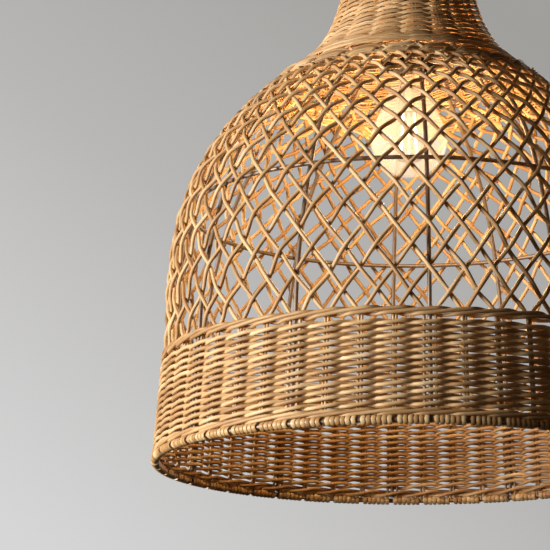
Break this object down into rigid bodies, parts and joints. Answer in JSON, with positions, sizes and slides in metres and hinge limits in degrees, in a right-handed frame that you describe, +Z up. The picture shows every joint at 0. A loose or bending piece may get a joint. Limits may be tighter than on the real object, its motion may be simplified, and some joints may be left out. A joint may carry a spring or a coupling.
{
  "type": "pendant ceiling light",
  "caption": "Bell-shaped woven rattan pendant shade on a wire frame, with a flared neck, twined lower band, screw lamp holder and filament bulb.",
  "frame": {"origin": "centre of the top face of the cord grip, where the cord enters and the light hangs", "axes": "+Z up along the shade's axis; -Y is the side nearest the viewer, +X to its right"},
  "size_m": [0.4058, 0.4058, 0.4468],
  "materials": {
    "peeled_rattan": "smoked rattan core, dry satin",
    "split_cane": "half-round cane, light gloss",
    "frame_steel": "brown lacquered steel wire",
    "black_thermoplastic": "black, satin",
    "steatite": "unglazed",
    "nickel_plate": "nickel plated",
    "cap_brass": "drawn sheet",
    "bulb_glass": "clear, faintly white",
    "stem_glass": "clear",
    "filament_phosphor": "lit warm yellow coating"
  },
  "bodies": {
    "shade": {"lower_band": "peeled_rattan", "band_top_border": "peeled_rattan", "lattice_dome": "peeled_rattan", "junction_braid": "peeled_rattan", "neck_weave": "peeled_rattan", "rim_binding": "split_cane", "top_binding": "split_cane", "bottom_ring": "frame_steel", "mid_ring": "frame_steel", "neck_ring": "frame_steel", "top_ring": "frame_steel", "spider": "frame_steel", "cord_grip_screw": "frame_steel", "grip_nut": "frame_steel", "rib_01": "frame_steel", "rib_02": "frame_steel", "rib_03": "frame_steel", "rib_04": "frame_steel", "rib_05": "frame_steel", "rib_06": "frame_steel", "rib_07": "frame_steel", "rib_08": "frame_steel", "rib_09": "frame_steel", "rib_10": "frame_steel", "rib_11": "frame_steel", "rib_12": "frame_steel", "holder_body": "black_thermoplastic", "holder_cap": "black_thermoplastic", "cord_grip": "black_thermoplastic", "holder_insert": "steatite", "screw_shell": "nickel_plate", "centre_contact": "nickel_plate", "side_contact": "nickel_plate", "terminal_screw_1": "nickel_plate", "terminal_screw_2": "nickel_plate"},
    "bulb_thread": {"contact_tip": "nickel_plate"},
    "bulb": {"bulb_glass": "bulb_glass", "bulb_stem": "stem_glass", "filament_1": "filament_phosphor", "filament_2": "filament_phosphor", "filament_3": "filament_phosphor", "filament_4": "filament_phosphor", "filament_collar": "nickel_plate", "filament_crown": "nickel_plate", "bulb_cap": "cap_brass", "cap_insulator": "black_thermoplastic"},
    "ring_thread": {"ring_washer": "frame_steel"},
    "clamp_ring": {"shade_ring": "black_thermoplastic"}
  },
  "joints": [
    {"name": "bulb_travel", "type": "slide", "parent": "shade", "child": "bulb_thread", "axis": [0, 0, -1], "range_m": [0, 0.01815]},
    {"name": "bulb_turn", "type": "hinge", "parent": "bulb_thread", "child": "bulb", "pos_m": [0, 0, -0.0808], "axis": [0, 0, -1], "range_deg": [0, 1800]},
    {"name": "ring_travel", "type": "slide", "parent": "shade", "child": "ring_thread", "axis": [0, 0, -1], "range_m": [0, 0.01251]},
    {"name": "ring_turn", "type": "hinge", "parent": "ring_thread", "child": "clamp_ring", "pos_m": [0, 0, -0.0718], "axis": [0, 0, -1], "range_deg": [0, 1800]}
  ],
  "couplings": [
    {"joint": "bulb_travel", "follows": "bulb_turn", "m_per_rad": 0.00057757},
    {"joint": "ring_travel", "follows": "ring_turn", "m_per_rad": 0.00039789}
  ]
}
